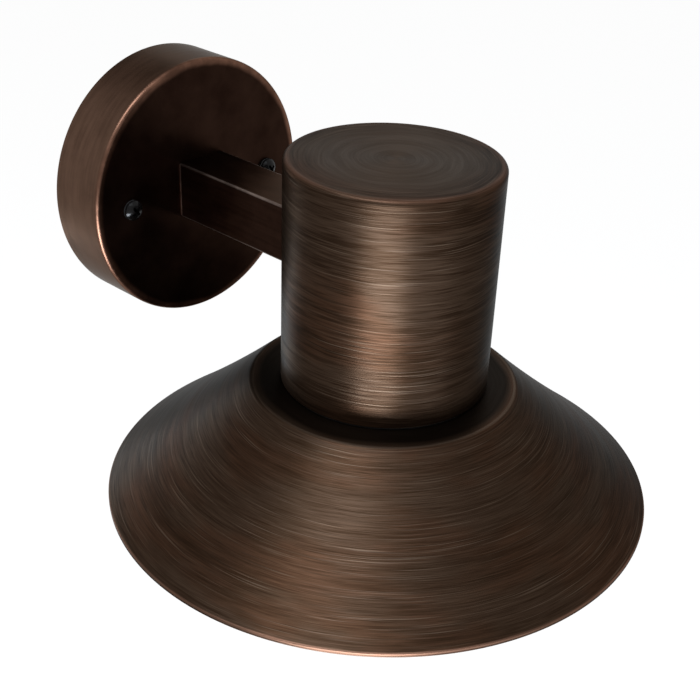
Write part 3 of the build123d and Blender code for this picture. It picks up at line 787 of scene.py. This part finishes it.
def squareTube(name, material):
    body = bmesh.new()
    sizes = ((armHalf, tube["corner"]), (armHalf - tube["wall"], tube["innerCorner"]))
    walls = []
    for half, corner in sizes:
        ring = squareRing(half, corner)
        wall = []
        for k in range(tube["rows"] + 1):
            row = []
            for x, z in ring:
                end = headAxis.y + sqrt((headRadius + tube["gap"]) ** 2 - x * x)
                row.append(body.verts.new((x, armRoot + (end - armRoot) * k / tube["rows"], z)))
            wall.append(row)
        walls.append(wall)
    outer, inner = walls
    strips = list(zip(outer, outer[1:])) + list(zip(inner, inner[1:]))
    strips += [(outer[0], inner[0]), (outer[-1], inner[-1])]
    for one, two in strips:
        for i in range(len(one)):
            face = body.faces.new((one[i - 1], one[i], two[i], two[i - 1]))
            face.smooth = True
    bmesh.ops.recalc_face_normals(body, faces=body.faces)
    mesh = bpy.data.meshes.new(name)
    body.to_mesh(mesh)
    body.free()
    mesh.set_sharp_from_angle(angle=sharpAngle)
    mesh.materials.append(material)
    return newPiece(name, mesh)


def armEdges(x, y, z):
    # painted highlights along the long corners, and along the seam with the plate, which shows on the sides
    # and not on top
    top = z.calc("GREATER_THAN", armHalf - tube["topBand"])
    return [
        (abs(x) + abs(z), 2 * armHalf, tube["cornerHighlight"]),
        (y - top * tube["seamShift"], armRoot, tube["seamHighlight"]),
    ]


armBronze = satinBronze("satinBronzeArm", tube["grain"], armEdges)
settle(squareTube("squareArm", armBronze), "lamp", "satin_bronze", "arm")

# Finishes of the small and hidden pieces: two colours in patches, grain, gloss
finishes = {
    "blackScrew": {
        "low": (0.0015, 0.0015, 0.0015), "high": (0.005, 0.0045, 0.0045), "patch": 420.0, "grain": 2600.0,
        "roughness": 0.18, "swing": 0.12, "bump": 0.12, "Specular IOR Level": 0.1,
    },
    "zincSteel": {
        "low": (0.33, 0.34, 0.355), "high": (0.50, 0.50, 0.485), "patch": 260.0, "grain": 1500.0,
        "roughness": 0.66, "swing": 0.2, "bump": 0.15, "Metallic": 1.0,
    },
    "bareBrass": {
        "low": (0.34, 0.20, 0.065), "high": (0.66, 0.45, 0.17), "patch": 300.0, "grain": 1800.0,
        "roughness": 0.28, "swing": 0.2, "bump": 0.12, "Metallic": 1.0,
    },
    "blackRubber": {
        "low": (0.004, 0.004, 0.004), "high": (0.011, 0.0105, 0.010), "patch": 340.0, "grain": 2200.0,
        "roughness": 0.72, "swing": 0.2, "bump": 0.4, "Specular IOR Level": 0.15,
    },
    "whitePorcelain": {
        "low": (0.70, 0.68, 0.63), "high": (0.82, 0.81, 0.77), "patch": 190.0, "grain": 900.0,
        "roughness": 0.2, "swing": 0.1, "bump": 0.08, "Coat Weight": 0.4, "Coat Roughness": 0.08,
    },
    "terminalPlastic": {
        "low": (0.58, 0.57, 0.53), "high": (0.74, 0.73, 0.69), "patch": 210.0, "grain": 1700.0,
        "roughness": 0.42, "swing": 0.16, "bump": 0.2,
    },
    "collarPlastic": {
        "low": (0.72, 0.72, 0.71), "high": (0.80, 0.80, 0.79), "patch": 150.0, "grain": 2400.0,
        "roughness": 0.4, "swing": 0.14, "bump": 0.18,
    },
    "frostedGlobe": {
        "low": (0.78, 0.77, 0.73), "high": (0.86, 0.85, 0.82), "patch": 70.0, "grain": 3200.0,
        "roughness": 0.8, "swing": 0.12, "bump": 0.1, "Subsurface Weight": 0.15, "Specular IOR Level": 0.02,
    },
    "capNickel": {
        "low": (0.46, 0.45, 0.42), "high": (0.66, 0.64, 0.60), "patch": 240.0, "grain": 1900.0,
        "roughness": 0.27, "swing": 0.2, "bump": 0.1, "Metallic": 1.0,
    },
    "blackInsulator": {
        "low": (0.006, 0.006, 0.008), "high": (0.016, 0.015, 0.017), "patch": 260.0, "grain": 1200.0,
        "roughness": 0.16, "swing": 0.12, "bump": 0.08,
    },
    "brownInsulation": {
        "low": (0.075, 0.031, 0.014), "high": (0.13, 0.058, 0.026), "patch": 380.0, "grain": 2800.0,
        "roughness": 0.45, "swing": 0.16, "bump": 0.15,
    },
    "blueInsulation": {
        "low": (0.018, 0.060, 0.20), "high": (0.035, 0.105, 0.31), "patch": 380.0, "grain": 2800.0,
        "roughness": 0.45, "swing": 0.16, "bump": 0.15,
    },
    "earthInsulation": {
        "low": (0.020, 0.150, 0.040), "high": (0.030, 0.210, 0.055), "patch": 380.0, "grain": 2800.0,
        "roughness": 0.45, "swing": 0.16, "bump": 0.15, "stripe": (0.62, 0.50, 0.035),
    },
}
mottle = {
    "patchDetail": 4.0,
    "patchRoughness": 0.6,
    "grainDetail": 2.0,
    "tonePatches": 0.7,  # the rest of the tone is grain
    "toneBand": (0.32, 0.68),
    "bumpGrain": 0.6,  # the rest of the bump is patches
    "bumpDistance": 0.05 * mm,
    "stripeTurns": 130.0,  # radians in a metre
    "stripeWave": 0.45 * mm,
    "stripeEdge": 0.04 * mm,
}


def smallFinish(name):
    values = dict(finishes[name])
    material, g = newMaterial(name)
    where = placed(g)
    patches = g.noise(where, values.pop("patch"), mottle["patchDetail"], mottle["patchRoughness"])
    grain = g.noise(where, values.pop("grain"), mottle["grainDetail"])
    low, high = (colour(*values.pop(key)) for key in ("low", "high"))
    base = g.blend(g.band(mixed(patches, grain, mottle["tonePatches"]), *mottle["toneBand"]), low, high)
    if "stripe" in values:
        # a stripe along one side, wound slowly round the wire
        x, y, z = g.split(where)
        side = x + ((y + z) * mottle["stripeTurns"]).calc("SINE") * mottle["stripeWave"]
        striped = g.band(side, -mottle["stripeEdge"], mottle["stripeEdge"])
        base = g.blend(striped, base, colour(*values.pop("stripe")))
    height = mixed(grain, patches, mottle["bumpGrain"])
    sockets = {
        "Base Color": base,
        "Roughness": values.pop("roughness") + patches.swing() * values.pop("swing"),
        "Normal": bumped(g, height, values.pop("bump"), mottle["bumpDistance"]),
    }
    # the values that are left go on the shader's own sockets
    return finishMaterial(material, g, {**sockets, **values})


smallFinishes = {name: smallFinish(name) for name in finishes}
print("made", len(smallFinishes), "small finishes")

# Screws: one spun and recessed, set on every seat of its kind
screwSizes = {
    # head height, shank radius, recess across, recess wide and recess deep, in mm
    "large": (3.2, 2.0, 4.7, 1.15, 1.7),
    "middle": (2.4, 2.0, 4.2, 1.0, 1.3),
    "small": (2.0, 1.5, 2.9, 0.7, 1.0),
    "headless": (0.0, 1.5, 4.0, 0.5, 0.9),
}
screwKinds = {
    # piece, facing, size, finish, slot
    "plate_screws": ("plateScrews", "-y", "large", "blackScrew", "black_screw"),
    "arm_root_screws": ("armRootScrews", "+y", "middle", "zincSteel", "zinc_steel"),
    "arm_end_screws": ("armEndScrews", "-y", "middle", "zincSteel", "zinc_steel"),
    "shade_screws": ("shadeScrews", "-z", "middle", "zincSteel", "zinc_steel"),
    "earth_screws": ("earthScrews", "-y", "middle", "bareBrass", "bare_brass"),
    "lampholder_screws": ("lampholderScrews", "+z", "small", "zincSteel", "zinc_steel"),
    "terminal_fixing_screw": ("terminalFixingScrew", "-y", "small", "zincSteel", "zinc_steel"),
    "terminal_screws": ("terminalScrews", "-y", "headless", "bareBrass", "bare_brass"),
}
screwTurns = {"-y": pi / 2, "+y": -pi / 2, "+z": 0.0, "-z": pi}  # about x, from head up
screwForm = {
    "pitch": 0.8 * mm,
    "depth": 0.22 * mm,
    "crest": 0.4,  # places in a turn of the thread
    "root": 0.9,
    "plain": 1.2 * mm,
    "neck": 0.72 * mm,
    "edge": 0.2 * mm,
    "dome": 2 / 3,  # of the head's height
    "domeSteps": 12,
    "edgeSteps": 3,
    "guard": 0.05 * mm,
    "segments": 40,
}


def screwOutline(radius, height, shank, length):
    # from the tip to the top of the head
    root = shank - screwForm["depth"]
    corners = [(0.0, -length, 0), (root, -length, 0)]
    for k in range(int((length - screwForm["plain"]) / screwForm["pitch"])):
        corners.append((shank, (k + screwForm["crest"]) * screwForm["pitch"] - length, 0))
        corners.append((root, (k + screwForm["root"]) * screwForm["pitch"] - length, 0))
    if height:
        corners += [(shank, -screwForm["neck"], 0), (shank, 0.0, 0), (radius, 0.0, screwForm["edge"])]
        dome = height * screwForm["dome"]
        ball = (radius * radius + dome * dome) / (2 * dome)
        for k in range(screwForm["domeSteps"] + 1):
            lean = asin(radius / ball) * (1 - k / screwForm["domeSteps"])
            corners.append((ball * sin(lean), height - ball + ball * cos(lean), 0))
    else:
        corners += [(shank, 0.0, screwForm["edge"]), (0.0, 0.0, 0)]
    return filleted(corners, screwForm["edgeSteps"], screwForm["guard"])


def screwTree():
    tree, identifiers, g, given = newTree("seatedScrews", {
        "Outline": "Geometry", "Rows": "Int", "Segments": "Int", "Top": "Float", "Recess": "Vector",
        "Crossed": "Float", "Facing": "Float", "Seed": "Int", "Finish": "Material",
    })
    screw = g.add("GeometryNodeGroup", {"node_tree": spunShell}, {
        key: given[key] for key in ("Outline", "Rows", "Segments", "Finish")
    })
    bars = []  # two bars cut the recess, each half above the top of the head
    for turn, share in ((0.0, 1.0), (pi / 2, given["Crossed"])):
        long, wide, deep = g.split(given["Recess"])
        bar = g.add("GeometryNodeMeshCube", None, {"Size": g.join(long * share, wide, deep * 2.0)})
        bars.append(g.add("GeometryNodeTransform", None, {
            "Geometry": bar, "Translation": g.join(0.0, 0.0, given["Top"]), "Rotation": (0.0, 0.0, turn),
        }))
    screw = g.add("GeometryNodeMeshBoolean", {"operation": "DIFFERENCE"}, {0: screw, 1: bars})
    seats = g.add("GeometryNodeDeleteGeometry", None, {
        "Geometry": given["Outline"],
        "Selection": g.add("GeometryNodeInputIndex").calc("LESS_THAN", given["Rows"]),
    })
    # inputs 2, 3 and 8 and output 1 are the Random Value node's limits, seed and number
    limits = {2: 0.0, 3: 2 * pi, 8: given["Seed"]}
    spin = g.add("FunctionNodeRandomValue", {"data_type": "FLOAT"}, limits, out=1)
    turned = g.add("FunctionNodeRotateRotation", {"rotation_space": "LOCAL"}, {
        0: g.add("FunctionNodeEulerToRotation", None, {0: g.join(given["Facing"], 0.0, 0.0)}),
        1: g.add("FunctionNodeAxisAngleToRotation", None, {"Axis": upright, "Angle": spin}),
    })
    screws = g.add("GeometryNodeInstanceOnPoints", None, {
        "Points": seats, "Instance": screw, "Rotation": turned,
    })
    screws = g.add("GeometryNodeRealizeInstances", None, {"Geometry": screws})
    screws = g.add("GeometryNodeSetMaterial", None, {"Geometry": screws, "Material": given["Finish"]})
    g.add("NodeGroupOutput", None, {"Shape": screws})
    return tree, identifiers


seatedScrews, screwInputs = screwTree()


def seatScrews(node, seed):
    name, facing, size, finish, slot = screwKinds[node]
    height, shank, across, wide, deep = (value * mm for value in screwSizes[size])
    axis = "xyz".index(facing[1])
    boxes = solids(node)
    whole = boxes[0][1] - boxes[0][0]
    seats = []
    for low, high in boxes:
        seat = (low + high) / 2
        seat[axis] = high[axis] - height if facing[0] == "+" else low[axis] + height
        seats.append(seat)
    outline = screwOutline(whole[axis - 1] / 2, height, shank, whole[axis] - height)
    crossed = 1.0 if height else wide / across  # one without a head has a plain slot
    piece = grown(name, outline, seats, seatedScrews, screwInputs, {
        "Segments": screwForm["segments"], "Top": height, "Recess": (across, wide, deep),
        "Crossed": crossed, "Facing": screwTurns[facing], "Seed": seed, "Finish": smallFinishes[finish],
    })
    return settle(piece, "lamp", slot, node)


for seed, node in enumerate(screwKinds):
    seatScrews(node, seed)

# Bulb cap with its round thread
cap = {
    "pitch": 3.6 * mm,
    "depth": 0.7 * mm,
    "fade": 3 * mm,  # over which the thread runs out at both ends
    "edge": 1.0 * mm,
    "foot": 0.3 * mm,
    "rows": 64,
    "footRows": 3,  # rows that the rounded ends take up
    "edgeRows": 4,
    "segments": 96,
    "slack": 0.01 * mm,
}
capLow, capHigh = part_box("bulb_cap")
capRadius = extent("bulb_cap").x / 2
capRows = spread((capRadius, capLow.z), (capRadius, capHigh.z), cap["rows"])
capOutline = filleted(
    [(0.0, capLow.z, 0), (capRadius, capLow.z, cap["foot"])]
    + capRows[cap["footRows"]:-cap["edgeRows"]]
    + [(capRadius, capHigh.z, cap["edge"]), (0.0, capHigh.z, 0)]
)


def threaded(piece):
    # presses the thread into the side of the cap
    for vert in piece.data.vertices:
        spoke = Vector((vert.co.x - headAxis.x, vert.co.y - headAxis.y))
        if spoke.length < capRadius - cap["slack"]:
            continue
        rise = vert.co.z / cap["pitch"] - atan2(spoke.y, spoke.x) / (2 * pi)
        fade = min(1.0, (capHigh.z - vert.co.z) / cap["fade"], (vert.co.z - capLow.z) / cap["fade"])
        spoke *= 1 - cap["depth"] * fade * (1 - cos(2 * pi * rise)) / 2 / capRadius
        vert.co.x, vert.co.y = headAxis.x + spoke.x, headAxis.y + spoke.y
    return piece


bulbCap = spun("threadedCap", capOutline, smallFinishes["capNickel"], headCentre, segments=cap["segments"])
settle(threaded(bulbCap), "bulb", "cap_metal", "bulb_cap")

# The other pieces keep their CAD shapes
keptFinishes = {
    "zincSteel": (
        "wall_bracket", "bracket_bushes", "arm_root_plate", "arm_root_block", "arm_end_block", "arm_saddle",
        "bridge_studs", "bridge_nuts", "lampholder_bridge", "shade_ring",
    ),
    "blackRubber": ("wall_gasket", "plate_screw_seals", "root_grommet", "end_grommet", "shade_seal"),
    "bareBrass": ("earth_tags", "lampholder_shell", "lampholder_contact", "bulb_contact"),
    "whitePorcelain": ("lampholder_body",),
    "terminalPlastic": ("terminal_block",),
    "brownInsulation": ("live_wire",),
    "blueInsulation": ("neutral_wire",),
    "earthInsulation": ("earth_wire",),
    "frostedGlobe": ("bulb_globe",),
    "collarPlastic": ("bulb_collar",),
    "blackInsulator": ("bulb_insulator",),
}
for finish, nodes in keptFinishes.items():
    for node in nodes:
        frame["nodes"][node].material_slots[0].material = smallFinishes[finish]
print("finished", sum(len(nodes) for nodes in keptFinishes.values()), "kept pieces")

# Camera, at the photograph's viewing angle
view = {
    "place": (-0.3494, -0.4410, 0.2120),
    "azimuth": -50.409,
    "elevation": 31.478,
    "roll": 3.675,
    "lens": 64.46,
    "sensor": 36.0,
    "shift": (-0.0715, 0.0889),
    "clip": (0.01, 50.0),
}


def heading(azimuth, elevation):
    # from the lamp towards a camera or a light, with azimuth 0 in front of the wall
    turn, lift = radians(azimuth), radians(elevation)
    return Vector((sin(turn) * cos(lift), -cos(turn) * cos(lift), sin(lift)))


def photoCamera():
    turn, roll = radians(view["azimuth"]), radians(view["roll"])
    back = heading(view["azimuth"], view["elevation"])
    level = Vector((cos(turn), sin(turn), 0.0))
    raised = back.cross(level)
    right = level * cos(roll) + raised * sin(roll)
    up = raised * cos(roll) - level * sin(roll)
    data = bpy.data.cameras.new("photoCamera")
    data.lens = view["lens"]
    data.sensor_width = view["sensor"]
    data.shift_x, data.shift_y = view["shift"]
    data.clip_start, data.clip_end = view["clip"]
    camera = bpy.data.objects.new("photoCamera", data)
    turned = Matrix((right, up, back)).transposed().to_4x4()
    camera.matrix_world = Matrix.Translation(view["place"]) @ turned
    scene.collection.objects.link(camera)
    return camera


scene.camera = photoCamera()
print("placed", scene.camera.name)

# Studio: a pale floor far below the lamp, soft boxes round it
studio = {
    "floorDrop": 0.9,
    "floorSize": 14.0,
    "floor": colour(0.95, 0.95, 0.95),
    "white": colour(1.0, 1.0, 1.0),
    "floorGlow": 0.75,  # share of plain white in the floor that is seen
    "world": 0.93,  # strength of the light from all round
    "aim": (0.0, -0.12, -0.03),
    "boxLight": (0.92, 1.0, 1.09),
}
softBoxes = [
    # name, azimuth, elevation, distance, width, height, watts
    ("frontBox", -55.0, -37.0, 0.8, 0.46, 0.35, 18.8),
    ("rightBox", -10.0, -33.0, 0.8, 0.70, 0.35, 2.2),
    ("upperBox", -81.0, 62.0, 1.6, 0.9, 0.7, 27.0),
    ("upperRightBox", -25.0, 60.0, 1.6, 1.0, 0.7, 4.0),
    ("rimBox", -176.0, -4.0, 1.0, 0.5, 0.3, 3.7),
    ("lowRimBox", -174.0, -25.0, 1.0, 0.4, 0.2, 1.9),
    ("backBox", 130.0, 33.0, 1.6, 1.0, 0.6, 3.0),
]


def softBox(name, azimuth, elevation, distance, wide, high, watts):
    away = heading(azimuth, elevation)
    data = bpy.data.lights.new(name, "AREA")
    data.shape = "RECTANGLE"
    data.size = wide
    data.size_y = high
    data.energy = watts
    data.color = studio["boxLight"]
    light = bpy.data.objects.new(name, data)
    light.location = Vector(studio["aim"]) + away * distance
    light.rotation_euler = away.to_track_quat("Z", "Y").to_euler()
    light.visible_camera = False
    light.visible_diffuse = elevation > 0  # the low ones only show in reflections
    scene.collection.objects.link(light)
    return light


def seenDirectly(g):
    # 1 for what the camera, a reflection or glass shows, 0 for the light that falls on the lamp
    paths = g.add("ShaderNodeLightPath").socket.node.outputs
    camera, glossy, through = (
        Field(g, paths["Is " + kind + " Ray"]) for kind in ("Camera", "Glossy", "Transmission")
    )
    return (camera + glossy + through).calc("MINIMUM", 1.0)


def paleFloor():
    material, g = newMaterial("paleFloor")
    matte = g.add("ShaderNodeBsdfDiffuse", None, {"Color": studio["floor"]})
    white = g.add("ShaderNodeEmission", None, {"Color": studio["white"], "Strength": 1.0})
    glow = seenDirectly(g) * studio["floorGlow"]
    surface = g.add("ShaderNodeMixShader", None, {0: glow, 1: matte, 2: white})
    g.add("ShaderNodeOutputMaterial", None, {"Surface": surface})
    return material


def studioFloor():
    half = studio["floorSize"] / 2
    level = cadBox[0].z - studio["floorDrop"]
    corners = [(-half, -half, level), (half, -half, level), (half, half, level), (-half, half, level)]
    mesh = bpy.data.meshes.new("studioFloor")
    mesh.from_pydata(corners, [], [(0, 1, 2, 3)])
    mesh.materials.append(paleFloor())
    return newPiece("studioFloor", mesh)


def studioWorld():
    world = bpy.data.worlds.new("studioWorld")
    world.use_nodes = True
    world.node_tree.nodes.clear()
    g = Graph(world.node_tree)
    strength = studio["world"] + seenDirectly(g) * (1.0 - studio["world"])
    shader = g.add("ShaderNodeBackground", None, {"Color": studio["white"], "Strength": strength})
    g.add("ShaderNodeOutputWorld", None, {"Surface": shader})
    return world


for box in softBoxes:
    softBox(*box)
floor = studioFloor()
scene.world = studioWorld()
scene.view_settings.view_transform = "Standard"
print("lit with", len(softBoxes), "soft boxes")
